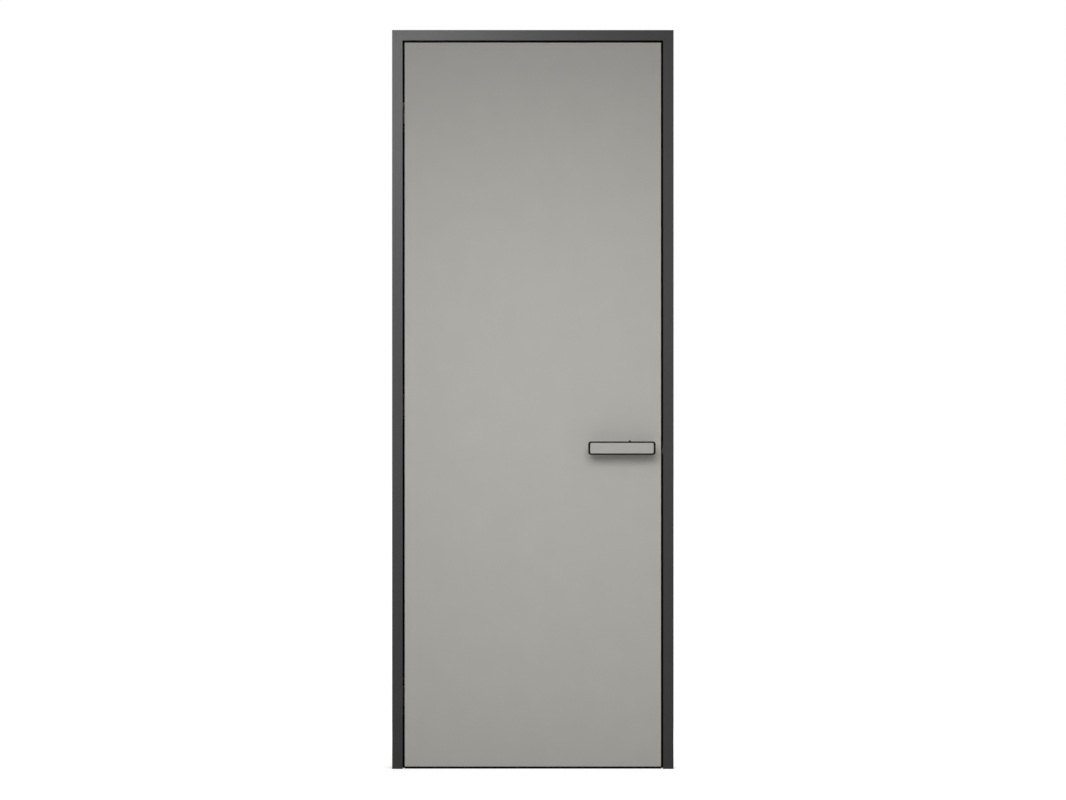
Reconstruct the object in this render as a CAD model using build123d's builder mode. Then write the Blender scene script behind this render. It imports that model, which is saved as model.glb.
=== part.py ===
"""Flush door set: a leaf level with its narrow metal frame, hung on concealed hinges.

Millimetres. +X runs across the doorway from the hinge side to the lock side, +Y runs
from the flush face into the wall, and +Z is up. The origin lies on the wall side of the
hinge lining, at floor level, halfway through the wall.
"""

import os
from math import cos, radians, sin

from build123d import *

# Door set, over the front casing, and the wall that it stands in
DOOR_WIDTH = 800.0
DOOR_HEIGHT = 2100.0
WALL_THICKNESS = 100.0

# Frame extrusions
CASING_FACE = 30.0
CASING_LAP = 8.0
CASING_PROUD = 8.0
PROFILE_WALL = 2.0
PROFILE_EDGE_RADIUS = 0.8
STOP_PROJECTION = 10.0
LINING_WEB = 1.5
BACK_LEG_THICKNESS = 2.0
BACK_LEG_LENGTH = 20.0

# Seal in the door stop
SEAL_BASE_WIDTH = 4.0
SEAL_BASE_DEPTH = 4.0
SEAL_FIT = 0.1
SEAL_SIDE_MARGIN = 0.3
SEAL_CLEARANCE = 0.6
SEAL_WALL = 1.0

# Leaf
LEAF_THICKNESS = 45.0
LEAF_GAP = 5.0
FLOOR_GAP = 6.0
STOP_GAP = 5.0
SKIN_THICKNESS = 4.0
EDGE_WEB = 1.0
EDGE_LEG_LENGTH = 24.0
EDGE_LEG_THICKNESS = 1.2
STILE_WIDTH = 40.0
LOCK_BLOCK_WIDTH = 90.0
LOCK_BLOCK_HEIGHT = 300.0
SILL_SEAL_WIDTH = 38.0
SILL_SEAL_BASE = 1.5
SILL_LIP_ROOT = 4.0
SILL_LIP_TIP = 2.0
SILL_SEAL_CLEARANCE = 0.8
SILL_SEAL_END_INSET = 0.5

# Concealed hinges: a fork and a tongue, crossed on a centre pin, swing between two cups
SWING_AXIS_PROUD = 2.5
HINGE_INSET = 200.0
HINGE_BACK_COVER = 8.0
LINK_LEAN_DEG = 16.0
LINK_RADIUS = 3.5
LINK_PIN_RADIUS = 2.0
LINK_RUNNING_FIT = 0.06
CENTRE_PIN_FIT = 0.2
LINK_HEIGHT = 60.0
TONGUE_HEIGHT = 20.0
LINK_SIDE_GAP = 0.5
CUP_END_GAP = 1.5
CUP_POCKET_DEPTH = 8.0
CUP_FLOOR = 2.5
CUP_SIDE_WALL = 1.0
CUP_END_WALL = 8.0
CUP_PLATE_LIP = 1.0
CUP_PLATE_END = 18.0
CUP_PLATE_THICKNESS = 2.0
CUP_PLATE_CORNER = 6.0
CUP_FRONT_REACH = 7.1
CUP_SWEEP_CLEARANCE = 1.0
PLATE_FIT = 0.2

# Lock: forend and latch in the leaf's edge, strike in the jamb
LOCK_BACKSET = 50.0
LEVER_AXIS_HEIGHT = 912.0
FOREND_WIDTH = 22.0
FOREND_LENGTH = 200.0
FOREND_THICKNESS = 3.0
FOREND_CORNER = 4.0
LATCH_WIDTH = 12.0
LATCH_HEIGHT = 32.0
LATCH_LENGTH = 22.0
LATCH_FIT = 0.3
LATCH_EDGE_RADIUS = 1.5
STRIKE_LENGTH = 120.0
STRIKE_BOX_WALL = 1.5
STRIKE_BOX_DEPTH = 14.0
STRIKE_MOUTH_MARGIN = 2.0

# Lever handles, one on each face, joined by a square spindle
LEVER_LENGTH = 191.0
LEVER_HEIGHT = 38.0
LEVER_THICKNESS = 14.0
LEVER_PROJECTION = 50.0
LEVER_END_PAST_AXIS = 33.0
LEVER_CORNER = 8.0
LEVER_EDGE_CHAMFER = 0.8
LEVER_BACK_CHAMFER = 3.0
LEVER_RIM = 4.0
LEVER_END_RIM = 5.6
INLAY_THICKNESS = 1.5
INLAY_SET_BACK = 0.3
INLAY_FIT = 0.05
NECK_RADIUS = 10.0
NECK_END_GAP = 1.0
NECK_ROOT_CHAMFER = 2.0
ROSE_RADIUS = 17.5
ROSE_THICKNESS = 7.0
ROSE_FIT = 0.3
SPINDLE_SIDE = 8.0
SPINDLE_FIT = 0.05
SPINDLE_SOCKET_DEPTH = 14.0
SPINDLE_HOLE_RADIUS = 8.0
BUTTON_RADIUS = 2.6
BUTTON_HEIGHT = 3.0
BUTTON_BEFORE_AXIS = 40.0

# Frame lines: u runs from the wall opening towards the doorway, y into the wall
opening_width = DOOR_WIDTH - 2 * CASING_LAP
opening_height = DOOR_HEIGHT - CASING_LAP
wall_front_y = -WALL_THICKNESS / 2
wall_back_y = WALL_THICKNESS / 2
front_y = wall_front_y - CASING_PROUD
back_y = wall_back_y + CASING_PROUD
rebate_u = CASING_FACE - CASING_LAP
stop_u = rebate_u + STOP_PROJECTION

# Leaf lines
leaf_left = rebate_u + LEAF_GAP
leaf_right = opening_width - leaf_left
leaf_bottom = FLOOR_GAP
leaf_top = opening_height - leaf_left
leaf_width = leaf_right - leaf_left
leaf_height = leaf_top - leaf_bottom
leaf_middle_x = (leaf_left + leaf_right) / 2
leaf_middle_z = (leaf_bottom + leaf_top) / 2
leaf_back_y = front_y + LEAF_THICKNESS
leaf_middle_y = (front_y + leaf_back_y) / 2
stop_y = leaf_back_y + STOP_GAP
skin_width = leaf_width - 2 * EDGE_WEB
skin_height = leaf_height - 2 * EDGE_WEB
core_thickness = LEAF_THICKNESS - 2 * SKIN_THICKNESS

# Hinge lines: the swing axis, the two link pivots and the centre pin make a rhombus
swing_x = rebate_u + LEAF_GAP / 2
swing_y = front_y - SWING_AXIS_PROUD
lean = radians(LINK_LEAN_DEG)
pocket_back_y = leaf_back_y - HINGE_BACK_COVER
centre_pin_y = pocket_back_y - CUP_SWEEP_CLEARANCE - LINK_RADIUS
link_length = (centre_pin_y - swing_y) / 2 / cos(lean)
pivot_y = (centre_pin_y + swing_y) / 2
frame_pivot_x = swing_x - link_length * sin(lean)
leaf_pivot_x = swing_x + link_length * sin(lean)
pocket_front_y = pivot_y - CUP_FRONT_REACH
pocket_width = pocket_back_y - pocket_front_y
pocket_length = LINK_HEIGHT + 2 * CUP_END_GAP
cup_middle_y = (pocket_front_y + pocket_back_y) / 2
cup_width = pocket_width + 2 * CUP_SIDE_WALL
cup_length = pocket_length + 2 * CUP_END_WALL
cup_depth = CUP_POCKET_DEPTH + CUP_FLOOR
plate_width = cup_width + 2 * CUP_PLATE_LIP
plate_length = cup_length + 2 * CUP_PLATE_END
hinge_heights = {
    "top": leaf_top - HINGE_INSET,
    "middle": leaf_middle_z,
    "bottom": leaf_bottom + HINGE_INSET,
}

# Lever lines
lever_x = leaf_right - LOCK_BACKSET
lever_middle_u = LEVER_END_PAST_AXIS - LEVER_LENGTH / 2
neck_length = LEVER_PROJECTION - LEVER_THICKNESS - NECK_END_GAP
spindle_reach = NECK_END_GAP + SPINDLE_SOCKET_DEPTH

# Runs of the frame: each plane has u along its x and the depth along its y
HINGE_RUN = Plane(origin=(0, 0, 0), x_dir=(1, 0, 0), z_dir=(0, 0, 1))
LOCK_RUN = Plane(origin=(opening_width, 0, DOOR_HEIGHT), x_dir=(-1, 0, 0), z_dir=(0, 0, -1))
HEAD_RUN = Plane(origin=(-CASING_LAP, 0, opening_height), x_dir=(0, 0, -1), z_dir=(1, 0, 0))
HINGE_MITRE = Plane(origin=(0, 0, opening_height), z_dir=(1, 0, 1))
LOCK_MITRE = Plane(origin=(opening_width, 0, opening_height), z_dir=(-1, 0, 1))
frame_runs = {
    "hinge": (HINGE_RUN, DOOR_HEIGHT, [(HINGE_MITRE, Keep.BOTTOM)]),
    "lock": (LOCK_RUN, DOOR_HEIGHT, [(LOCK_MITRE, Keep.BOTTOM)]),
    "head": (HEAD_RUN, DOOR_WIDTH, [(HINGE_MITRE, Keep.TOP), (LOCK_MITRE, Keep.TOP)]),
}

# Runs of the leaf's edging, mitred at its four corners
HINGE_EDGE_RUN = Plane(origin=(leaf_left, 0, leaf_bottom), x_dir=(1, 0, 0), z_dir=(0, 0, 1))
LOCK_EDGE_RUN = Plane(origin=(leaf_right, 0, leaf_top), x_dir=(-1, 0, 0), z_dir=(0, 0, -1))
TOP_EDGE_RUN = Plane(origin=(leaf_left, 0, leaf_top), x_dir=(0, 0, -1), z_dir=(1, 0, 0))
BOTTOM_EDGE_RUN = Plane(origin=(leaf_right, 0, leaf_bottom), x_dir=(0, 0, 1), z_dir=(-1, 0, 0))
HINGE_TOP_MITRE = Plane(origin=(leaf_left, 0, leaf_top), z_dir=(1, 0, 1))
LOCK_TOP_MITRE = Plane(origin=(leaf_right, 0, leaf_top), z_dir=(-1, 0, 1))
HINGE_BOTTOM_MITRE = Plane(origin=(leaf_left, 0, leaf_bottom), z_dir=(1, 0, -1))
LOCK_BOTTOM_MITRE = Plane(origin=(leaf_right, 0, leaf_bottom), z_dir=(-1, 0, -1))
edge_runs = {
    "hinge": (HINGE_EDGE_RUN, leaf_height, [(HINGE_TOP_MITRE, Keep.BOTTOM), (HINGE_BOTTOM_MITRE, Keep.BOTTOM)]),
    "lock": (LOCK_EDGE_RUN, leaf_height, [(LOCK_TOP_MITRE, Keep.BOTTOM), (LOCK_BOTTOM_MITRE, Keep.BOTTOM)]),
    "top": (TOP_EDGE_RUN, leaf_width, [(HINGE_TOP_MITRE, Keep.TOP), (LOCK_TOP_MITRE, Keep.TOP)]),
    "bottom": (BOTTOM_EDGE_RUN, leaf_width, [(HINGE_BOTTOM_MITRE, Keep.TOP), (LOCK_BOTTOM_MITRE, Keep.TOP)]),
}

# Faces that the lock's plates are let into, both facing the gap at lever height
FOREND_FACE = Plane(origin=(leaf_right, leaf_middle_y, LEVER_AXIS_HEIGHT), x_dir=(0, 1, 0), z_dir=(1, 0, 0))
STRIKE_FACE = Plane(
    origin=(opening_width - rebate_u, leaf_middle_y, LEVER_AXIS_HEIGHT), x_dir=(0, 1, 0), z_dir=(-1, 0, 0)
)


def save(part, label):
    """Labels a finished piece and writes it as its own file."""
    part.label = label
    export_step(part, f"parts/{label}.step")


def jamb_section():
    """Front frame profile: the visible face, the lap on the wall and the rebate side."""
    with BuildSketch() as section:
        with BuildLine():
            Polyline(
                (-CASING_LAP, front_y),
                (rebate_u, front_y),
                (rebate_u, stop_y),
                (0, stop_y),
                (0, wall_front_y),
                (-CASING_LAP, wall_front_y),
                close=True,
            )
        make_face()
        fillet(section.vertices().group_by(Axis.Y)[0], PROFILE_EDGE_RADIUS)
        offset(amount=-PROFILE_WALL, kind=Kind.INTERSECTION, mode=Mode.SUBTRACT)
    return section.sketch


def lining_section():
    """Lining profile: the door stop with its seal groove, then the webbed reveal through the wall."""
    groove_u = rebate_u + (STOP_PROJECTION - SEAL_BASE_WIDTH) / 2
    with BuildSketch() as section:
        with BuildLine():
            Polyline(
                (0, stop_y),
                (groove_u, stop_y),
                (groove_u, stop_y + SEAL_BASE_DEPTH),
                (groove_u + SEAL_BASE_WIDTH, stop_y + SEAL_BASE_DEPTH),
                (groove_u + SEAL_BASE_WIDTH, stop_y),
                (stop_u, stop_y),
                (stop_u, wall_back_y),
                (0, wall_back_y),
                close=True,
            )
        make_face()
        offset(amount=-PROFILE_WALL, kind=Kind.INTERSECTION, mode=Mode.SUBTRACT)
        with Locations((stop_u / 2, (stop_y + SEAL_BASE_DEPTH + wall_back_y) / 2)):
            Rectangle(stop_u - PROFILE_WALL, LINING_WEB)
    return section.sketch


def back_casing_section():
    """Back casing: a flat box on the wall with a leg that laps the reveal."""
    leg_u = stop_u + BACK_LEG_THICKNESS
    with BuildSketch() as section:
        with BuildLine():
            Polyline(
                (-CASING_LAP, back_y),
                (leg_u, back_y),
                (leg_u, wall_back_y - BACK_LEG_LENGTH),
                (stop_u, wall_back_y - BACK_LEG_LENGTH),
                (stop_u, wall_back_y),
                (-CASING_LAP, wall_back_y),
                close=True,
            )
        make_face()
        fillet(section.vertices().group_by(Axis.Y)[-1], PROFILE_EDGE_RADIUS)
        hollow_width = stop_u + CASING_LAP - 2 * PROFILE_WALL
        with Locations(((stop_u - CASING_LAP) / 2, (wall_back_y + back_y) / 2)):
            Rectangle(hollow_width, CASING_PROUD - 2 * PROFILE_WALL, mode=Mode.SUBTRACT)
    return section.sketch


def seal_section():
    """Stop seal: a hollow half-round bulb on a base that is pressed into the groove."""
    middle_u = rebate_u + STOP_PROJECTION / 2
    half_width = STOP_PROJECTION / 2 - SEAL_SIDE_MARGIN
    bulb_y = leaf_back_y + SEAL_CLEARANCE
    base_depth = SEAL_BASE_DEPTH - SEAL_FIT
    with BuildSketch() as section:
        with BuildLine():
            ThreePointArc((middle_u - half_width, stop_y), (middle_u, bulb_y), (middle_u + half_width, stop_y))
            Line((middle_u + half_width, stop_y), (middle_u - half_width, stop_y))
        make_face()
        offset(amount=-SEAL_WALL, kind=Kind.INTERSECTION, mode=Mode.SUBTRACT)
        with Locations((middle_u, stop_y + base_depth / 2)):
            Rectangle(SEAL_BASE_WIDTH - 2 * SEAL_FIT, base_depth)
    return section.sketch


def edge_section():
    """Leaf edging: a web over the full thickness with a leg under each skin."""
    leg_u = EDGE_WEB + EDGE_LEG_LENGTH
    front_leg_y = front_y + SKIN_THICKNESS
    back_leg_y = leaf_back_y - SKIN_THICKNESS
    with BuildSketch() as section:
        with BuildLine():
            Polyline(
                (0, front_y),
                (EDGE_WEB, front_y),
                (EDGE_WEB, front_leg_y),
                (leg_u, front_leg_y),
                (leg_u, front_leg_y + EDGE_LEG_THICKNESS),
                (EDGE_WEB, front_leg_y + EDGE_LEG_THICKNESS),
                (EDGE_WEB, back_leg_y - EDGE_LEG_THICKNESS),
                (leg_u, back_leg_y - EDGE_LEG_THICKNESS),
                (leg_u, back_leg_y),
                (EDGE_WEB, back_leg_y),
                (EDGE_WEB, leaf_back_y),
                (0, leaf_back_y),
                close=True,
            )
        make_face()
    return section.sketch


def mitred_length(section, run):
    """One section drawn along its run and cut to the mitres at its ends."""
    plane, length, mitres = run
    with BuildPart() as member:
        with BuildSketch(plane):
            add(section)
        extrude(amount=length)
        for mitre, side in mitres:
            split(bisect_by=mitre, keep=side)
    return member.part


def plate_seat(face, width, length, corner, depth):
    """Seat of a let-in plate, with its fit all round."""
    with BuildPart() as seat:
        with BuildSketch(face):
            RectangleRounded(width + 2 * PLATE_FIT, length + 2 * PLATE_FIT, corner + PLATE_FIT)
        extrude(amount=-depth)
    return seat.part


def frame_cup_face(height):
    """Plane on the rebate side of the hinge jamb, centred on one hinge and facing the leaf."""
    return Plane(origin=(rebate_u, cup_middle_y, height), x_dir=(0, 1, 0), z_dir=(1, 0, 0))


def leaf_cup_face(height):
    """Plane on the leaf's hinge edge, centred on one hinge and facing the jamb."""
    return Plane(origin=(leaf_left, cup_middle_y, height), x_dir=(0, 1, 0), z_dir=(-1, 0, 0))


def cup_seat(face):
    """Seat of a hinge cup: its plate, then its body behind the plate."""
    with BuildPart() as seat:
        with BuildSketch(face):
            RectangleRounded(plate_width + 2 * PLATE_FIT, plate_length + 2 * PLATE_FIT, CUP_PLATE_CORNER + PLATE_FIT)
        extrude(amount=-(CUP_PLATE_THICKNESS + PLATE_FIT))
        with BuildSketch(face):
            Rectangle(cup_width + 2 * PLATE_FIT, cup_length + 2 * PLATE_FIT)
        extrude(amount=-(cup_depth + PLATE_FIT))
    return seat.part


def hinge_cup(face, pivot_x):
    """Cast hinge cup with a rounded plate, an open pocket and the pin that a link turns on."""
    with BuildPart() as cup:
        with BuildSketch(face):
            RectangleRounded(plate_width, plate_length, CUP_PLATE_CORNER)
        extrude(amount=-CUP_PLATE_THICKNESS)
        with BuildSketch(face):
            Rectangle(cup_width, cup_length)
        extrude(amount=-cup_depth)
        with BuildSketch(face):
            Rectangle(pocket_width, pocket_length)
        extrude(amount=-CUP_POCKET_DEPTH, mode=Mode.SUBTRACT)
        with BuildSketch(Plane.XY.offset(face.origin.Z - pocket_length / 2)):
            with Locations((pivot_x, pivot_y)):
                Circle(LINK_PIN_RADIUS)
        extrude(amount=pocket_length)
    return cup.part


def hinge_fork(height):
    """Link on the frame cup's pin: arms above and below the tongue, bored for the centre pin."""
    base_z = height - LINK_HEIGHT / 2
    arm_height = (LINK_HEIGHT - TONGUE_HEIGHT) / 2 - LINK_SIDE_GAP
    with BuildPart() as fork:
        with BuildSketch(Plane.XY.offset(base_z)):
            with Locations((frame_pivot_x, pivot_y)):
                Circle(LINK_RADIUS)
        extrude(amount=LINK_HEIGHT)
        for arm_z in (base_z, base_z + LINK_HEIGHT - arm_height):
            with BuildSketch(Plane.XY.offset(arm_z)):
                with Locations(((frame_pivot_x + swing_x) / 2, (pivot_y + centre_pin_y) / 2)):
                    SlotCenterToCenter(link_length, 2 * LINK_RADIUS, rotation=90 - LINK_LEAN_DEG)
            extrude(amount=arm_height)
        with BuildSketch(Plane.XY.offset(base_z)):
            with Locations((frame_pivot_x, pivot_y)):
                Circle(LINK_PIN_RADIUS + LINK_RUNNING_FIT)
            with Locations((swing_x, centre_pin_y)):
                Circle(LINK_PIN_RADIUS + CENTRE_PIN_FIT)
        extrude(amount=LINK_HEIGHT, mode=Mode.SUBTRACT)
    return fork.part


def hinge_tongue(height):
    """Link on the leaf cup's pin: one middle arm that carries the centre pin."""
    base_z = height - LINK_HEIGHT / 2
    with BuildPart() as tongue:
        with BuildSketch(Plane.XY.offset(base_z)):
            with Locations((leaf_pivot_x, pivot_y)):
                Circle(LINK_RADIUS)
        extrude(amount=LINK_HEIGHT)
        with BuildSketch(Plane.XY.offset(height - TONGUE_HEIGHT / 2)):
            with Locations(((leaf_pivot_x + swing_x) / 2, (pivot_y + centre_pin_y) / 2)):
                SlotCenterToCenter(link_length, 2 * LINK_RADIUS, rotation=90 + LINK_LEAN_DEG)
        extrude(amount=TONGUE_HEIGHT)
        with BuildSketch(Plane.XY.offset(base_z)):
            with Locations((leaf_pivot_x, pivot_y)):
                Circle(LINK_PIN_RADIUS + LINK_RUNNING_FIT)
        extrude(amount=LINK_HEIGHT, mode=Mode.SUBTRACT)
        with BuildSketch(Plane.XY.offset(base_z)):
            with Locations((swing_x, centre_pin_y)):
                Circle(LINK_PIN_RADIUS)
        extrude(amount=LINK_HEIGHT)
    return tongue.part


def leaf_face(x, z, outward):
    """Plane on a face of the leaf, facing out; outward is -1 for the flush face, 1 for the back."""
    face_y = front_y if outward < 0 else leaf_back_y
    return Plane(origin=(x, face_y, z), x_dir=(1, 0, 0), z_dir=(0, outward, 0))


def skin(outward):
    """Flat face panel of the leaf, held inside the edging and bored for the spindle."""
    with BuildPart() as panel:
        with BuildSketch(leaf_face(leaf_middle_x, leaf_middle_z, outward)):
            Rectangle(skin_width, skin_height)
        extrude(amount=-SKIN_THICKNESS)
        with BuildSketch(leaf_face(lever_x, LEVER_AXIS_HEIGHT, outward)):
            Circle(SPINDLE_HOLE_RADIUS)
        extrude(amount=-SKIN_THICKNESS, mode=Mode.SUBTRACT)
    return panel.part


def rose(outward):
    """Round rose that the lever's neck turns in."""
    with BuildPart() as ring:
        with BuildSketch(leaf_face(lever_x, LEVER_AXIS_HEIGHT, outward)):
            Circle(ROSE_RADIUS)
            Circle(NECK_RADIUS + ROSE_FIT, mode=Mode.SUBTRACT)
        extrude(amount=ROSE_THICKNESS)
    return ring.part


def lever(outward):
    """Lever: a flat bar with a rimmed recess in its face and a round neck towards the leaf."""
    face = leaf_face(lever_x, LEVER_AXIS_HEIGHT, outward).offset(LEVER_PROJECTION)
    bar_back = face.offset(-LEVER_THICKNESS)
    neck_end = bar_back.offset(-neck_length)
    outward_axis = Axis(face.origin, face.z_dir)
    with BuildPart() as handle:
        with BuildSketch(face):
            with Locations((lever_middle_u, 0)):
                RectangleRounded(LEVER_LENGTH, LEVER_HEIGHT, LEVER_CORNER)
        extrude(amount=-LEVER_THICKNESS)
        chamfer(handle.faces().sort_by(outward_axis)[0].edges(), LEVER_BACK_CHAMFER)
        chamfer(handle.faces().sort_by(outward_axis)[-1].edges(), LEVER_EDGE_CHAMFER)
        with BuildSketch(face):
            with Locations((lever_middle_u, 0)):
                RectangleRounded(
                    LEVER_LENGTH - 2 * LEVER_END_RIM, LEVER_HEIGHT - 2 * LEVER_RIM, LEVER_CORNER - LEVER_RIM
                )
        extrude(amount=-(INLAY_THICKNESS + INLAY_SET_BACK), mode=Mode.SUBTRACT)
        with BuildSketch(bar_back):
            Circle(NECK_RADIUS)
        extrude(amount=-neck_length)
        neck_root = handle.edges(Select.LAST).filter_by(GeomType.CIRCLE).sort_by(outward_axis)[-1]
        chamfer(neck_root, NECK_ROOT_CHAMFER)
        with BuildSketch(neck_end):
            Rectangle(SPINDLE_SIDE + 2 * SPINDLE_FIT, SPINDLE_SIDE + 2 * SPINDLE_FIT)
        extrude(amount=SPINDLE_SOCKET_DEPTH, mode=Mode.SUBTRACT)
    return handle.part


def inlay(outward):
    """Thin panel set into a lever's face, just below the rim."""
    face = leaf_face(lever_x, LEVER_AXIS_HEIGHT, outward).offset(LEVER_PROJECTION - INLAY_SET_BACK)
    border = LEVER_RIM + INLAY_FIT
    end_border = LEVER_END_RIM + INLAY_FIT
    with BuildPart() as panel:
        with BuildSketch(face):
            with Locations((lever_middle_u, 0)):
                RectangleRounded(LEVER_LENGTH - 2 * end_border, LEVER_HEIGHT - 2 * border, LEVER_CORNER - border)
        extrude(amount=-INLAY_THICKNESS)
    return panel.part


os.makedirs("parts", exist_ok=True)

# Frame
jamb_blank = mitred_length(jamb_section(), frame_runs["hinge"])
jamb_seats = [
    plate_seat(frame_cup_face(height), plate_width, plate_length, CUP_PLATE_CORNER, PROFILE_WALL)
    for height in hinge_heights.values()
]
with BuildPart() as hinge_jamb:
    add(jamb_blank)
    add(jamb_seats, mode=Mode.SUBTRACT)
save(hinge_jamb.part, "hinge_jamb")

lock_blank = mitred_length(jamb_section(), frame_runs["lock"])
strike_seat = plate_seat(STRIKE_FACE, FOREND_WIDTH, STRIKE_LENGTH, FOREND_CORNER, PROFILE_WALL)
with BuildPart() as lock_jamb:
    add(lock_blank)
    add(strike_seat, mode=Mode.SUBTRACT)
save(lock_jamb.part, "lock_jamb")

save(mitred_length(jamb_section(), frame_runs["head"]), "head_jamb")
for side, run in frame_runs.items():
    save(mitred_length(lining_section(), run), f"{side}_lining")
    save(mitred_length(back_casing_section(), run), f"{side}_back_casing")
    save(mitred_length(seal_section(), run), f"{side}_seal")

with BuildPart() as strike_plate:
    mouth_width = LATCH_WIDTH + 2 * STRIKE_MOUTH_MARGIN
    mouth_height = LATCH_HEIGHT + 2 * STRIKE_MOUTH_MARGIN
    with BuildSketch(STRIKE_FACE):
        RectangleRounded(FOREND_WIDTH, STRIKE_LENGTH, FOREND_CORNER)
    extrude(amount=-PROFILE_WALL)
    with BuildSketch(STRIKE_FACE):
        Rectangle(mouth_width + 2 * STRIKE_BOX_WALL, mouth_height + 2 * STRIKE_BOX_WALL)
    extrude(amount=-STRIKE_BOX_DEPTH)
    with BuildSketch(STRIKE_FACE):
        Rectangle(mouth_width, mouth_height)
    extrude(amount=-(STRIKE_BOX_DEPTH - STRIKE_BOX_WALL), mode=Mode.SUBTRACT)
save(strike_plate.part, "strike_plate")

# Hinges
for place, height in hinge_heights.items():
    save(hinge_cup(frame_cup_face(height), frame_pivot_x), f"{place}_hinge_frame_cup")
    save(hinge_cup(leaf_cup_face(height), leaf_pivot_x), f"{place}_hinge_leaf_cup")
    save(hinge_fork(height), f"{place}_hinge_fork")
    save(hinge_tongue(height), f"{place}_hinge_tongue")

# Leaf
leaf_cup_seats = [cup_seat(leaf_cup_face(height)) for height in hinge_heights.values()]
forend_seat = plate_seat(FOREND_FACE, FOREND_WIDTH, FOREND_LENGTH, FOREND_CORNER, FOREND_THICKNESS)
hinge_edge_blank = mitred_length(edge_section(), edge_runs["hinge"])
with BuildPart() as hinge_edge:
    add(hinge_edge_blank)
    add(leaf_cup_seats, mode=Mode.SUBTRACT)
save(hinge_edge.part, "hinge_edge")

lock_edge_blank = mitred_length(edge_section(), edge_runs["lock"])
with BuildPart() as lock_edge:
    add(lock_edge_blank)
    add(forend_seat, mode=Mode.SUBTRACT)
save(lock_edge.part, "lock_edge")

for side in ("top", "bottom"):
    save(mitred_length(edge_section(), edge_runs[side]), f"{side}_edge")

save(skin(-1), "front_skin")
save(skin(1), "back_skin")

with BuildPart() as timber_frame:
    core_plane = Plane((leaf_middle_x, leaf_middle_y, leaf_middle_z), x_dir=(1, 0, 0), z_dir=(0, -1, 0))
    hollow_width = skin_width - 2 * STILE_WIDTH
    hollow_height = skin_height - 2 * STILE_WIDTH
    with BuildSketch(core_plane):
        Rectangle(skin_width, skin_height)
        Rectangle(hollow_width, hollow_height, mode=Mode.SUBTRACT)
    extrude(amount=core_thickness / 2 - EDGE_LEG_THICKNESS, both=True)
    with BuildSketch(core_plane):
        Rectangle(skin_width - 2 * EDGE_LEG_LENGTH, skin_height - 2 * EDGE_LEG_LENGTH)
        Rectangle(hollow_width, hollow_height, mode=Mode.SUBTRACT)
    extrude(amount=core_thickness / 2, both=True)
    with BuildSketch(core_plane):
        with Locations(((hollow_width - LOCK_BLOCK_WIDTH) / 2, LEVER_AXIS_HEIGHT - leaf_middle_z)):
            Rectangle(LOCK_BLOCK_WIDTH, LOCK_BLOCK_HEIGHT)
    extrude(amount=core_thickness / 2, both=True)
    for height in hinge_heights.values():
        with BuildSketch(leaf_cup_face(height)):
            Rectangle(plate_width + 2 * PLATE_FIT, plate_length + 2 * PLATE_FIT)
        extrude(amount=-(CUP_PLATE_THICKNESS + PLATE_FIT), mode=Mode.SUBTRACT)
        with BuildSketch(leaf_cup_face(height)):
            Rectangle(cup_width + 2 * PLATE_FIT, cup_length + 2 * PLATE_FIT)
        extrude(amount=-(cup_depth + PLATE_FIT), mode=Mode.SUBTRACT)
    with BuildSketch(FOREND_FACE):
        Rectangle(FOREND_WIDTH + 2 * PLATE_FIT, FOREND_LENGTH + 2 * PLATE_FIT)
    extrude(amount=-(FOREND_THICKNESS + PLATE_FIT), mode=Mode.SUBTRACT)
    with BuildSketch(FOREND_FACE):
        Rectangle(LATCH_WIDTH + 2 * LATCH_FIT, LATCH_HEIGHT + 2 * LATCH_FIT)
    extrude(amount=-(LATCH_LENGTH + LATCH_FIT), mode=Mode.SUBTRACT)
    with BuildSketch(leaf_face(lever_x, LEVER_AXIS_HEIGHT, -1)):
        Circle(SPINDLE_HOLE_RADIUS)
    extrude(amount=-LEAF_THICKNESS, mode=Mode.SUBTRACT)
save(timber_frame.part, "timber_frame")

with BuildPart() as bottom_seal:
    seal_start = Plane((leaf_left + SILL_SEAL_END_INSET, leaf_middle_y, 0), x_dir=(0, 1, 0), z_dir=(1, 0, 0))
    half_width = SILL_SEAL_WIDTH / 2
    base_bottom = leaf_bottom - SILL_SEAL_BASE
    with BuildSketch(seal_start):
        with BuildLine():
            Polyline(
                (-half_width, leaf_bottom),
                (-half_width, SILL_SEAL_CLEARANCE),
                (SILL_LIP_TIP - half_width, SILL_SEAL_CLEARANCE),
                (SILL_LIP_ROOT - half_width, base_bottom),
                (half_width - SILL_LIP_ROOT, base_bottom),
                (half_width - SILL_LIP_TIP, SILL_SEAL_CLEARANCE),
                (half_width, SILL_SEAL_CLEARANCE),
                (half_width, leaf_bottom),
                close=True,
            )
        make_face()
    extrude(amount=leaf_width - 2 * SILL_SEAL_END_INSET)
save(bottom_seal.part, "bottom_seal")

with BuildPart() as lock_forend:
    with BuildSketch(FOREND_FACE):
        RectangleRounded(FOREND_WIDTH, FOREND_LENGTH, FOREND_CORNER)
        Rectangle(LATCH_WIDTH + 2 * LATCH_FIT, LATCH_HEIGHT + 2 * LATCH_FIT, mode=Mode.SUBTRACT)
    extrude(amount=-FOREND_THICKNESS)
save(lock_forend.part, "lock_forend")

with BuildPart() as latch_bolt:
    with BuildSketch(FOREND_FACE):
        Rectangle(LATCH_WIDTH, LATCH_HEIGHT)
    extrude(amount=-LATCH_LENGTH)
    fillet(latch_bolt.faces().sort_by(Axis.X)[-1].edges(), LATCH_EDGE_RADIUS)
save(latch_bolt.part, "latch_bolt")

# Levers
for name, outward in (("front", -1), ("back", 1)):
    save(rose(outward), f"{name}_rose")
    save(lever(outward), f"{name}_lever")
    save(inlay(outward), f"{name}_inlay")

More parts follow.
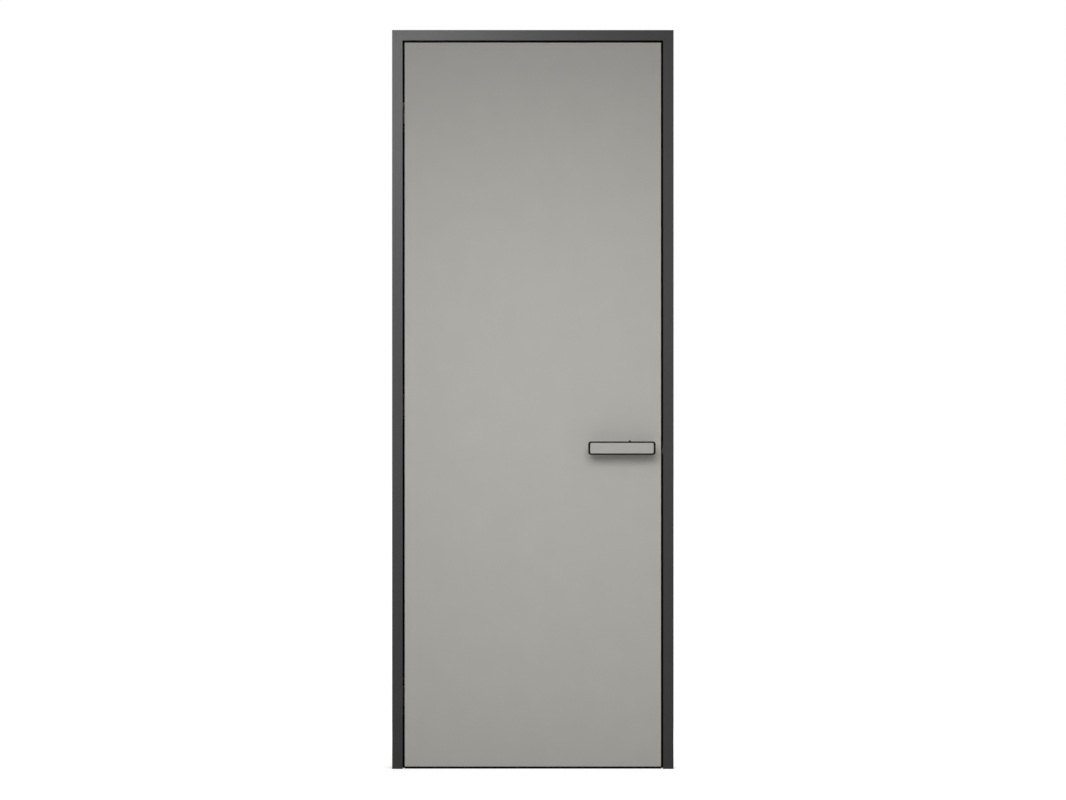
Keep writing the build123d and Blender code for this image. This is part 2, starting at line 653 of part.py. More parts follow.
with BuildPart() as spindle:
    with BuildSketch(leaf_face(lever_x, LEVER_AXIS_HEIGHT, -1).offset(spindle_reach)):
        Rectangle(SPINDLE_SIDE, SPINDLE_SIDE)
    extrude(amount=-(LEAF_THICKNESS + 2 * spindle_reach))
save(spindle.part, "spindle")

with BuildPart() as privacy_button:
    button_x = lever_x - BUTTON_BEFORE_AXIS
    button_y = front_y - LEVER_PROJECTION + LEVER_THICKNESS / 2
    bar_top = LEVER_AXIS_HEIGHT + LEVER_HEIGHT / 2
    with BuildSketch(Plane((button_x, button_y, bar_top))):
        Circle(BUTTON_RADIUS)
    extrude(amount=BUTTON_HEIGHT)
save(privacy_button.part, "privacy_button")
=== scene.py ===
"""Dresses a packed flush door for a picture.

The CAD nodes keep their shapes and get their finishes and softened arrises here. The screws are
added on the plates that they hold, and a plain pale studio lights the door from the front.
"""

import math

import bmesh
import bpy
from bpy.props import FloatProperty, FloatVectorProperty, PointerProperty
from mathutils import Matrix, Vector


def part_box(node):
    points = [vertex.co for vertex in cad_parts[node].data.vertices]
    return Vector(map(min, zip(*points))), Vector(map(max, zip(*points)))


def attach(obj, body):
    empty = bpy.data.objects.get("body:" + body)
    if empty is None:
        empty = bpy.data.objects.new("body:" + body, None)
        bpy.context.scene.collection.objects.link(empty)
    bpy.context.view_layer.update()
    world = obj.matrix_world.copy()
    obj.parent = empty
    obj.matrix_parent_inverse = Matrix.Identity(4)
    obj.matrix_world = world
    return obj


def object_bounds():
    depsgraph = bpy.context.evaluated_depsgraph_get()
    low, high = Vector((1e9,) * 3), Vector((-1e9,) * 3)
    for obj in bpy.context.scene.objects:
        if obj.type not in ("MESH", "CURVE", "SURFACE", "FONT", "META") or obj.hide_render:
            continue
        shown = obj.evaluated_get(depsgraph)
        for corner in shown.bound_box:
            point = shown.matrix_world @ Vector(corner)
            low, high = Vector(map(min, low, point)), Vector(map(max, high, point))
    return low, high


bl_info = {
    "name": "Flush Door Looks",
    "version": (1, 0, 0),
    "blender": (4, 5, 0),
    "location": "3D View > Sidebar > Flush Door",
    "description": "Finishes, screws and a plain studio for a flush door",
    "category": "Object",
}

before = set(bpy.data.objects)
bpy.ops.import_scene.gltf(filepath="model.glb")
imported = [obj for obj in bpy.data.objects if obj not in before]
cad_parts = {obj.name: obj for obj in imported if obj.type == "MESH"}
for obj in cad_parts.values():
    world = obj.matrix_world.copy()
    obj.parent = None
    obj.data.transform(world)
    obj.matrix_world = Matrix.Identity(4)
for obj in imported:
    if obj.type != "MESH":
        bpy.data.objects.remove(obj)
CAD_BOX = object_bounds()

MM = 0.001

FRAME_SIDES = ["hinge", "lock", "head"]
FRAME_PROFILES = [f"{side}_{part}" for side in FRAME_SIDES for part in ("jamb", "back_casing")]
LININGS = [f"{side}_lining" for side in FRAME_SIDES]
UPRIGHT_EDGES = ["hinge_edge", "lock_edge"]
LEVEL_EDGES = ["top_edge", "bottom_edge"]
SEALS = ["hinge_seal", "lock_seal", "head_seal", "bottom_seal"]
SKINS = ["front_skin", "back_skin"]
INLAYS = ["front_inlay", "back_inlay"]
LEVERS = ["front_lever", "back_lever"]
ROSES = ["front_rose", "back_rose"]
HINGES = ["top_hinge", "middle_hinge", "bottom_hinge"]
LOCK_STEEL = ["lock_forend", "latch_bolt", "strike_plate", "spindle"]

# What counts as one corner, as one flat side and as an arris, where arrises are softened.
WELD_REACH = 0.01 * MM
FLAT_ANGLE = math.radians(0.5)
ARRIS_ANGLE = math.radians(40)

# A screw's head from its rim to its recess, as shares of its radius and of its rise, and the
# floor of the recess, as shares of the recess's outline and of the head's rise.
SCREW_SIDES = 48
HEAD_PROFILE = [(1.0, 0.15), (0.94, 0.5), (0.78, 0.88)]
RECESS_FLOOR = (0.86, 0.15)
CREASE_ANGLE = math.radians(35)

# Sockets of the Mix node, which has a set for numbers and a set for colours.
MIX_FACTOR = 0
MIX_NUMBER_A, MIX_NUMBER_B, MIX_NUMBER_OUT = 2, 3, 0
MIX_COLOUR_A, MIX_COLOUR_B, MIX_COLOUR_OUT = 6, 7, 2

# The axis that an edge profile runs along.
RUN_AXIS = {"level": 0, "upright": 2}

# The floor's glow, low within the shadow's reach of the door and rising to white farther off.
FLOOR_HALF_WIDTH = 60.0
FLOOR_COLOUR = "#DEDDDA"
SHADOW_REACH, WHITE_REACH = 0.6, 1.5
SHADOW_GLOW, WHITE_GLOW = 0.55, 0.86
WHITE = [1.0, 1.0, 1.0, 1.0]

# How far the camera sees, past the far edge of the floor.
VIEW_REACH = 100.0


def linear(hex_colour):
    """Linear RGB of an sRGB hex colour."""
    channels = [int(hex_colour[i : i + 2], 16) / 255 for i in (1, 3, 5)]
    return [c / 12.92 if c <= 0.04045 else ((c + 0.055) / 1.055) ** 2.4 for c in channels]


def colour_setting(name, description, hex_colour):
    """A colour that the user can change."""
    return FloatVectorProperty(
        name=name,
        description=description,
        subtype="COLOR",
        min=0.0,
        max=1.0,
        default=linear(hex_colour),
    )


def length_setting(name, description, metres):
    """A length that the user can change."""
    return FloatProperty(name=name, description=description, unit="LENGTH", min=0.0, default=metres)


def power_setting(name, description, watts):
    """A lamp's power that the user can change."""
    return FloatProperty(name=name, description=description, subtype="POWER", default=watts)


class FlushDoorFinishes(bpy.types.PropertyGroup):
    """Colours of the door's finishes."""

    laminate: colour_setting("Laminate", "Matt laminate on the leaf", "#AAA8A3")
    inlay: colour_setting("Inlay", "Matt laminate in the levers", "#A2A09C")
    frame_coat: colour_setting("Frame coat", "Satin powder coat on the frame", "#171717")
    trim: colour_setting("Edging", "Black anodised edging round the leaf", "#141415")
    lever_coat: colour_setting("Lever coat", "Matt powder coat on levers and roses", "#0D0D0D")
    rubber: colour_setting("Seals", "Rubber of the seals", "#0B0B0B")
    casting: colour_setting("Hinges", "Plated zinc castings of the hinges", "#B2AFA9")
    steel: colour_setting("Lock steel", "Brushed stainless steel of the lock", "#B9B8B5")
    plated_steel: colour_setting("Screws", "Zinc plated steel of the screws", "#A6A5A1")
    timber: colour_setting("Timber", "Planed softwood inside the leaf", "#C9A978")


class FlushDoorArrises(bpy.types.PropertyGroup):
    """Widths of the softened arrises."""

    profile: length_setting("Profiles", "Arris of the jambs, head and casings", 0.12 * MM)
    lining: length_setting("Linings", "Arris of the linings", 0.3 * MM)
    leaf: length_setting("Leaf", "Arris of the leaf's skins and edging", 0.15 * MM)
    seal: length_setting("Seals", "Arris of the seals", 0.15 * MM)
    cup: length_setting("Hinge cups", "Arris of the hinges' cups", 0.08 * MM)
    lock: length_setting("Lock", "Arris of forend, latch, strike and spindle", 0.2 * MM)
    lever: length_setting("Levers", "Arris of the levers", 0.3 * MM)
    rose: length_setting("Roses", "Arris of the roses", 0.8 * MM)
    button: length_setting("Button", "Arris of the privacy button", 0.4 * MM)
    inlay: length_setting("Inlays", "Arris of the levers' inlays", 0.2 * MM)


class FlushDoorScrews(bpy.types.PropertyGroup):
    """Sizes of the screws."""

    head_radius: length_setting("Head radius", "Radius of a fixing screw's head", 3.6 * MM)
    head_rise: length_setting("Head rise", "How far a countersunk head stands up", 0.7 * MM)
    head_sink: length_setting("Head sink", "How far a head goes into what it holds", 0.5 * MM)
    cross_reach: length_setting("Cross reach", "Length of a cross recess's arms", 2.1 * MM)
    cross_width: length_setting("Cross width", "Width of a cross recess's arms", 0.9 * MM)
    adjuster_radius: length_setting("Adjuster", "Radius of a hinge's adjusting screw", 4.2 * MM)
    hexagon: length_setting("Hexagon", "Width across flats of an adjuster's socket", 4.0 * MM)
    grub_radius: length_setting("Grub radius", "Radius of a lever's grub screw", 2.5 * MM)
    grub_hexagon: length_setting("Grub hexagon", "Across flats of a grub's socket", 2.5 * MM)
    plate_inset: length_setting("Plate inset", "Hinge plate's edges to its screws", 7.5 * MM)
    adjuster_inset: length_setting("Adjuster inset", "Plate's ends to its adjusters", 18.0 * MM)
    lock_inset: length_setting("Lock inset", "Ends of forend and strike to screws", 9.0 * MM)
    bar_depth: length_setting("Bar depth", "From the face of a lever's bar to its neck", 14.0 * MM)
    neck_radius: length_setting("Neck radius", "Radius of a lever's neck", 10.0 * MM)


class FlushDoorStudio(bpy.types.PropertyGroup):
    """Camera and lamps."""

    lens: FloatProperty(
        name="Lens", description="Long lens of a straight view", unit="CAMERA", default=200.0
    )
    distance: length_setting("Distance", "From the camera to the front of the frame", 16.83)
    centre_x: length_setting("Centre across", "Place across at the picture's centre", 0.3924)
    centre_z: length_setting("Centre height", "Height at the picture's centre", 1.0485)
    fill: FloatProperty(
        name="Fill", description="Strength of the even light from all round", default=0.3
    )
    key_power: power_setting("Key", "Softbox before the door", 26.4)
    strip_power: power_setting("Strip", "Strip lamp up at the left", 22.7)
    sheen_power: power_setting("Sheen", "Panel that the frame reflects", 16.6)
    back_power: power_setting("Back", "Softbox behind the door", 18.5)


def add(tree, kind, values=None, links=None, **settings):
    """Add one node, with its settings, the values of its sockets and the links into it."""
    node = tree.nodes.new(kind)
    for name, value in settings.items():
        setattr(node, name, value)
    for socket, value in (values or {}).items():
        node.inputs[socket].default_value = value
    for socket, source in (links or {}).items():
        tree.links.new(source, node.inputs[socket])
    return node


def shade(colour, share):
    """The colour made lighter or darker, as a socket's four values."""
    return [min(1.0, c * share) for c in colour] + [1.0]


def blank_material(name):
    """A material with nothing in it but the place on its piece: material, node tree and place."""
    material = bpy.data.materials.get(name) or bpy.data.materials.new(name)
    material.use_nodes = True
    tree = material.node_tree
    tree.nodes.clear()
    return material, tree, add(tree, "ShaderNodeTexCoord").outputs["Object"]


def close_material(tree, values, tone, rough=None, relief=None):
    """Give a material its shader, with tone, roughness and relief that follow patterns.

    A tone is a pattern with its darkest and its lightest colour, a roughness is a pattern with
    its lowest and its highest value, and a relief is a pattern with a bump's strength and depth.
    """
    pattern, darkest, lightest = tone
    mixed = add(
        tree,
        "ShaderNodeMix",
        {MIX_COLOUR_A: darkest, MIX_COLOUR_B: lightest},
        {MIX_FACTOR: pattern},
        data_type="RGBA",
    )
    links = {"Base Color": mixed.outputs[MIX_COLOUR_OUT]}
    if rough:
        pattern, low, high = rough
        spread = add(
            tree, "ShaderNodeMapRange", {"To Min": low, "To Max": high}, {"Value": pattern}
        )
        links["Roughness"] = spread.outputs["Result"]
    if relief:
        pattern, strength, depth = relief
        bump = add(
            tree, "ShaderNodeBump", {"Strength": strength, "Distance": depth}, {"Height": pattern}
        )
        links["Normal"] = bump.outputs["Normal"]
    shader = add(tree, "ShaderNodeBsdfPrincipled", values, links)
    add(tree, "ShaderNodeOutputMaterial", links={"Surface": shader.outputs["BSDF"]})


def matt_laminate(colour, piece):
    """Melamine laminate pressed against a matt plate.

    It gives one even warm grey with a dull wide sheen, clouded very slightly over about 70 mm,
    and a pearl grain of about 0.4 mm, in tone, dullness and relief, that is drawn at 1.2 mm so
    that it shows close up.
    """
    material, tree, place = blank_material(f"matt_melamine_laminate_{piece}")
    cloud = add(
        tree, "ShaderNodeTexNoise", {"Scale": 1 / (70 * MM), "Detail": 3.0}, {"Vector": place}
    ).outputs["Fac"]
    pearl = add(
        tree, "ShaderNodeTexNoise", {"Scale": 1 / (1.2 * MM), "Detail": 2.0}, {"Vector": place}
    ).outputs["Fac"]
    mottle = add(
        tree,
        "ShaderNodeMix",
        {MIX_FACTOR: 0.5},
        {MIX_NUMBER_A: cloud, MIX_NUMBER_B: pearl},
        data_type="FLOAT",
    ).outputs[MIX_NUMBER_OUT]
    close_material(
        tree,
        {"IOR": 1.5},
        tone=(mottle, shade(colour, 0.93), shade(colour, 1.07)),
        rough=(pearl, 0.66, 0.8),
        relief=(pearl, 0.6, 0.06 * MM),
    )
    return material


def satin_powder_coat(colour):
    """Satin powder coat baked on extruded aluminium.

    It gives a dark grey with a soft sheen that follows the lamps, the low orange peel of a baked
    coat, about 2 mm from hump to hump, and a faint fleck of its much finer pigment, drawn at
    0.7 mm so that it shows.
    """
    material, tree, place = blank_material("satin_powder_coated_aluminium")
    peel = add(
        tree, "ShaderNodeTexNoise", {"Scale": 1 / (2.0 * MM), "Detail": 1.0}, {"Vector": place}
    ).outputs["Fac"]
    fleck = add(
        tree, "ShaderNodeTexNoise", {"Scale": 1 / (0.7 * MM), "Detail": 2.0}, {"Vector": place}
    ).outputs["Fac"]
    close_material(
        tree,
        {"IOR": 1.5, "Specular IOR Level": 0.33},
        tone=(fleck, shade(colour, 0.85), shade(colour, 1.15)),
        rough=(fleck, 0.36, 0.46),
        relief=(peel, 0.5, 0.08 * MM),
    )
    return material


def black_anodised(colour, way):
    """Black anodised aluminium extrusion, upright or level, with its die lines along it.

    It gives a near black metal with a narrow satin shine, drawn out into fine lines where the
    die left its marks, about 0.3 mm apart and drawn at 0.8 mm so that they show, and changing
    over about 400 mm along the profile.
    """
    material, tree, place = blank_material(f"black_anodised_aluminium_{way}")
    scale = [1 / (0.8 * MM)] * 3
    scale[RUN_AXIS[way]] = 1 / (400 * MM)
    drawn = add(tree, "ShaderNodeMapping", {"Scale": scale}, {"Vector": place}).outputs["Vector"]
    lines = add(
        tree, "ShaderNodeTexNoise", {"Scale": 1.0, "Detail": 3.0}, {"Vector": drawn}
    ).outputs["Fac"]
    close_material(
        tree,
        {"Metallic": 1.0},
        tone=(lines, shade(colour, 0.8), shade(colour, 1.25)),
        rough=(lines, 0.30, 0.48),
        relief=(lines, 0.25, 0.02 * MM),
    )
    return material


def textured_black_coat(colour):
    """Matt black powder coat with a fine sandy texture, baked on a cast lever.

    It gives a deep black whose shine is broken up by grains of about 0.3 mm, drawn at 0.6 mm so
    that they show close up, with a faint haze over about 9 mm.
    """
    material, tree, place = blank_material("matt_black_powder_coat")
    grit = add(
        tree, "ShaderNodeTexVoronoi", {"Scale": 1 / (0.6 * MM)}, {"Vector": place}
    ).outputs["Distance"]
    haze = add(
        tree, "ShaderNodeTexNoise", {"Scale": 1 / (9 * MM), "Detail": 2.0}, {"Vector": place}
    ).outputs["Fac"]
    close_material(
        tree,
        {"IOR": 1.5, "Specular IOR Level": 0.07},
        tone=(haze, shade(colour, 0.8), shade(colour, 1.3)),
        rough=(grit, 0.48, 0.62),
        relief=(grit, 0.7, 0.1 * MM),
    )
    return material


def seal_rubber(colour):
    """Extruded rubber of the seals.

    It gives a flat black with hardly any shine, greyed in patches of about 12 mm by the bloom
    that comes to the surface of such rubber, on a skin with low humps about 0.8 mm apart.
    """
    material, tree, place = blank_material("extruded_epdm_rubber")
    bloom = add(
        tree, "ShaderNodeTexNoise", {"Scale": 1 / (12 * MM), "Detail": 4.0}, {"Vector": place}
    ).outputs["Fac"]
    skin = add(
        tree, "ShaderNodeTexNoise", {"Scale": 1 / (0.8 * MM), "Detail": 1.0}, {"Vector": place}
    ).outputs["Fac"]
    close_material(
        tree,
        {"IOR": 1.5, "Specular IOR Level": 0.1},
        tone=(bloom, shade(colour, 0.8), shade(colour, 1.6)),
        rough=(bloom, 0.62, 0.8),
        relief=(skin, 0.3, 0.04 * MM),
    )
    return material


def plated_casting(colour):
    """Zinc die casting with a satin nickel plate.

    It gives a warm silver with a soft shine, clouded over about 15 mm, and the shallow pebbling
    of a tumbled casting, about 0.5 mm from hump to hump and drawn at 0.9 mm so that it shows.
    """
    material, tree, place = blank_material("satin_nickel_plated_zinc")
    pebble = add(
        tree, "ShaderNodeTexNoise", {"Scale": 1 / (0.9 * MM), "Detail": 2.0}, {"Vector": place}
    ).outputs["Fac"]
    cloud = add(
        tree, "ShaderNodeTexNoise", {"Scale": 1 / (15 * MM), "Detail": 3.0}, {"Vector": place}
    ).outputs["Fac"]
    close_material(
        tree,
        {"Metallic": 1.0},
        tone=(cloud, shade(colour, 0.9), shade(colour, 1.08)),
        rough=(pebble, 0.30, 0.46),
        relief=(pebble, 0.25, 0.04 * MM),
    )
    return material


def brushed_stainless(colour):
    """Stainless steel strip brushed along its length.

    It gives a cool silver whose shine is drawn out by upright scratches of about 45 mm, about
    0.1 mm apart and drawn at 0.4 mm so that they show.
    """
    material, tree, place = blank_material("brushed_stainless_steel")
    scale = [1 / (0.4 * MM), 1 / (0.4 * MM), 1 / (45 * MM)]
    drawn = add(tree, "ShaderNodeMapping", {"Scale": scale}, {"Vector": place}).outputs["Vector"]
    scratch = add(
        tree, "ShaderNodeTexNoise", {"Scale": 1.0, "Detail": 4.0}, {"Vector": drawn}
    ).outputs["Fac"]
    close_material(
        tree,
        {"Metallic": 1.0},
        tone=(scratch, shade(colour, 0.85), shade(colour, 1.1)),
        rough=(scratch, 0.22, 0.44),
        relief=(scratch, 0.2, 0.02 * MM),
    )
    return material


def zinc_plated_steel(colour):
    """Rolled steel screws with a bright zinc plate.

    It gives a clear grey shine with slightly cloudy patches, about 1.5 mm across, where the
    plating was tumbled.
    """
    material, tree, place = blank_material("zinc_plated_steel")
    patch = add(
        tree, "ShaderNodeTexNoise", {"Scale": 1 / (1.5 * MM), "Detail": 3.0}, {"Vector": place}
    ).outputs["Fac"]
    close_material(
        tree,
        {"Metallic": 1.0},
        tone=(patch, shade(colour, 0.8), shade(colour, 1.15)),
        rough=(patch, 0.2, 0.4),
    )
    return material


def planed_softwood(colour):
    """Planed softwood rails and stiles inside the leaf.

    It gives a pale straw brown with darker summer growth, in bands about 6 mm apart that change
    over about 300 mm along the grain, and no polish.
    """
    material, tree, place = blank_material("planed_softwood")
    scale = [1 / (6 * MM), 1 / (6 * MM), 1 / (300 * MM)]
    drawn = add(tree, "ShaderNodeMapping", {"Scale": scale}, {"Vector": place}).outputs["Vector"]
    growth = add(
        tree, "ShaderNodeTexNoise", {"Scale": 1.0, "Detail": 5.0}, {"Vector": drawn}
    ).outputs["Fac"]
    close_material(
        tree,
        {"IOR": 1.5, "Roughness": 0.65},
        tone=(growth, shade(colour, 0.72), shade(colour, 1.1)),
        relief=(growth, 0.3, 0.1 * MM),
    )
    return material


def dress(names, material, arris=0.0):
    """Give CAD nodes their material and, where a width is given, soften their arrises by it."""
    for name in names:
        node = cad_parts[name]
        node.data.materials.clear()
        node.data.materials.append(material)
        weld = node.modifiers.new("join_corners", "WELD")
        weld.merge_threshold = WELD_REACH
        if arris:
            # Slivers in a flat side would stop the bevel, so each flat side is first made one face.
            side = node.modifiers.new("whole_sides", "DECIMATE")
            side.decimate_type = "DISSOLVE"
            side.angle_limit = FLAT_ANGLE
            bevel = node.modifiers.new("soft_arris", "BEVEL")
            bevel.width = arris
            bevel.segments = 2
            bevel.limit_method = "ANGLE"
            bevel.angle_limit = ARRIS_ANGLE
            bevel.use_clamp_overlap = False
            bevel.harden_normals = True
        node.modifiers.new("even_shine", "WEIGHTED_NORMAL")


def cross_outline(reach, width):
    """Radius of a cross recess at an angle."""

    def radius(angle):
        turn = (angle + math.pi / 4) % (math.pi / 2) - math.pi / 4
        end = reach / math.cos(turn)
        if end * abs(math.sin(turn)) <= width / 2:
            return end
        return width / 2 / abs(math.sin(turn))

    return radius


def hexagon_outline(flats):
    """Radius of a hexagon socket at an angle."""

    def radius(angle):
        turn = (angle + math.pi / 6) % (math.pi / 3) - math.pi / 6
        return flats / 2 / math.cos(turn)

    return radius


def seat_of(point, outward):
    """Place of a screw on a plate, with its own Z pointing out of the plate."""
    return Matrix.Translation(point) @ Vector(outward).to_track_quat("Z", "Y").to_matrix().to_4x4()


def drive_screw(mesh, seat, radius, rise, sink, outline):
    """Add one raised countersunk head with a recess of that outline to the mesh."""
    angles = [2 * math.pi * i / SCREW_SIDES for i in range(SCREW_SIDES)]
    recess = [outline(a) for a in angles]
    floor_share, floor_height = RECESS_FLOOR
    steps = [([radius] * SCREW_SIDES, -sink)]
    for share, height in HEAD_PROFILE:
        steps.append(([share * radius] * SCREW_SIDES, height * rise))
    steps.append((recess, rise))
    steps.append(([floor_share * reach for reach in recess], floor_height * rise))
    rings = [
        [
            mesh.verts.new(seat @ Vector((reach * math.cos(a), reach * math.sin(a), height)))
            for reach, a in zip(reaches, angles)
        ]
        for reaches, height in steps
    ]
    for lower, upper in zip(rings, rings[1:]):
        for i in range(SCREW_SIDES):
            j = (i + 1) % SCREW_SIDES
            mesh.faces.new((lower[i], lower[j], upper[j], upper[i]))
    mesh.faces.new(rings[-1])
    mesh.faces.new(list(reversed(rings[0])))


def screw_piece(name, heads, material, body):
    """Make one object of a plate's screws, on the body that carries the plate."""
    sizes = bpy.context.scene.flush_door_screws
    mesh = bmesh.new()
    for seat, radius, outline in heads:
        drive_screw(mesh, seat, radius, sizes.head_rise, sizes.head_sink, outline)
    data = bpy.data.meshes.new(name)
    mesh.to_mesh(data)
    mesh.free()
    data.shade_smooth()
    data.set_sharp_from_angle(angle=CREASE_ANGLE)
    data.materials.append(material)
    piece = bpy.data.objects.new(name, data)
    bpy.context.scene.collection.objects.link(piece)
    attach(piece, body)


class FLUSHDOOR_OT_frame(bpy.types.Operator):
    """Powder coat the jambs, head, linings and casings"""

    bl_idname = "flush_door.frame"
    bl_label = "Coat the frame"

    def execute(self, context):
        arrises = context.scene.flush_door_arrises
        coat = satin_powder_coat(context.scene.flush_door_finishes.frame_coat)
        dress(FRAME_PROFILES, coat, arrises.profile)
        dress(LININGS, coat, arrises.lining)
        return {"FINISHED"}


class FLUSHDOOR_OT_leaf(bpy.types.Operator):
    """Face the leaf with laminate, edge it with black metal and give its inside its timber"""

    bl_idname = "flush_door.leaf"
    bl_label = "Finish the leaf"

    def execute(self, context):
        finishes = context.scene.flush_door_finishes
        arris = context.scene.flush_door_arrises.leaf
        dress(SKINS, matt_laminate(finishes.laminate, "leaf"), arris)
        dress(UPRIGHT_EDGES, black_anodised(finishes.trim, "upright"), arris)
        dress(LEVEL_EDGES, black_anodised(finishes.trim, "level"), arris)
        # With whole sides and soft arrises the timber would touch the hinges' tongues.
        dress(["timber_frame"], planed_softwood(finishes.timber))
        return {"FINISHED"}


class FLUSHDOOR_OT_seals(bpy.types.Operator):
    """Make the stop seals and the seal under the leaf of rubber"""

    bl_idname = "flush_door.seals"
    bl_label = "Fit the seals"

    def execute(self, context):
        rubber = seal_rubber(context.scene.flush_door_finishes.rubber)
        dress(SEALS, rubber, context.scene.flush_door_arrises.seal)
        return {"FINISHED"}


class FLUSHDOOR_OT_hinges(bpy.types.Operator):
    """Plate the hinges and drive their fixing and adjusting screws"""

    bl_idname = "flush_door.hinges"
    bl_label = "Finish the hinges"

    def execute(self, context):
        finishes = context.scene.flush_door_finishes
        arris = context.scene.flush_door_arrises.cup
        casting = plated_casting(finishes.casting)
        plated = zinc_plated_steel(finishes.plated_steel)
        for hinge in HINGES:
            dress([f"{hinge}_frame_cup", f"{hinge}_leaf_cup"], casting, arris)
            # The bevel folds over on the links, so they keep sharp arrises.
            dress([f"{hinge}_fork", f"{hinge}_tongue"], casting)
            for side, outward in (("frame", 1), ("leaf", -1)):
                heads = self.plate_heads(context, f"{hinge}_{side}_cup", outward)
                screw_piece(f"{hinge}_{side}_screws", heads, plated, side)
        return {"FINISHED"}

    def plate_heads(self, context, cup, outward):
        """Four fixing screws in the corners of a cup's plate and two adjusters between them."""
        sizes = context.scene.flush_door_screws
        cross = cross_outline(sizes.cross_reach, sizes.cross_width)
        socket = hexagon_outline(sizes.hexagon)
        low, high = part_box(cup)
        face = high.x if outward > 0 else low.x
        heads = []
        for y in (low.y + sizes.plate_inset, high.y - sizes.plate_inset):
            for z in (low.z + sizes.plate_inset, high.z - sizes.plate_inset):
                seat = seat_of((face, y, z), (outward, 0, 0))
                heads.append((seat, sizes.head_radius, cross))
        for z in (low.z + sizes.adjuster_inset, high.z - sizes.adjuster_inset):
            seat = seat_of((face, (low.y + high.y) / 2, z), (outward, 0, 0))
            heads.append((seat, sizes.adjuster_radius, socket))
        return heads


class FLUSHDOOR_OT_lock(bpy.types.Operator):
    """Brush the forend, latch, strike and spindle and drive the screws of forend and strike"""

    bl_idname = "flush_door.lock"
    bl_label = "Finish the lock"

    def execute(self, context):
        finishes = context.scene.flush_door_finishes
        sizes = context.scene.flush_door_screws
        steel = brushed_stainless(finishes.steel)
        dress(LOCK_STEEL, steel, context.scene.flush_door_arrises.lock)
        plated = zinc_plated_steel(finishes.plated_steel)
        cross = cross_outline(sizes.cross_reach, sizes.cross_width)
        for node, body, outward in (("lock_forend", "leaf", 1), ("strike_plate", "frame", -1)):
            low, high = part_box(node)
            face = high.x if outward > 0 else low.x
            heads = []
            for z in (low.z + sizes.lock_inset, high.z - sizes.lock_inset):
                seat = seat_of((face, (low.y + high.y) / 2, z), (outward, 0, 0))
                heads.append((seat, sizes.head_radius, cross))
            screw_piece(f"{node}_screws", heads, plated, body)
        return {"FINISHED"}


class FLUSHDOOR_OT_levers(bpy.types.Operator):
    """Coat the levers and roses, face the levers with laminate and drive their grub screws"""

    bl_idname = "flush_door.levers"
    bl_label = "Finish the levers"

    def execute(self, context):
        finishes = context.scene.flush_door_finishes
        arrises = context.scene.flush_door_arrises
        sizes = context.scene.flush_door_screws
        coat = textured_black_coat(finishes.lever_coat)
        dress(LEVERS, coat, arrises.lever)
        dress(ROSES, coat, arrises.rose)
        dress(["privacy_button"], coat, arrises.button)
        dress(INLAYS, matt_laminate(finishes.inlay, "inlay"), arrises.inlay)
        plated = zinc_plated_steel(finishes.plated_steel)
        socket = hexagon_outline(sizes.grub_hexagon)
        for side in ("front", "back"):
            lever_low, lever_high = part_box(f"{side}_lever")
            rose_low, rose_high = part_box(f"{side}_rose")
            if side == "front":
                neck_y = (lever_low.y + sizes.bar_depth + rose_low.y) / 2
            else:
                neck_y = (lever_high.y - sizes.bar_depth + rose_high.y) / 2
            axis = (rose_low + rose_high) / 2
            seat = seat_of((axis.x, neck_y, axis.z - sizes.neck_radius), (0, 0, -1))
            heads = [(seat, sizes.grub_radius, socket)]
            screw_piece(f"{side}_grub_screw", heads, plated, "lever")
        return {"FINISHED"}


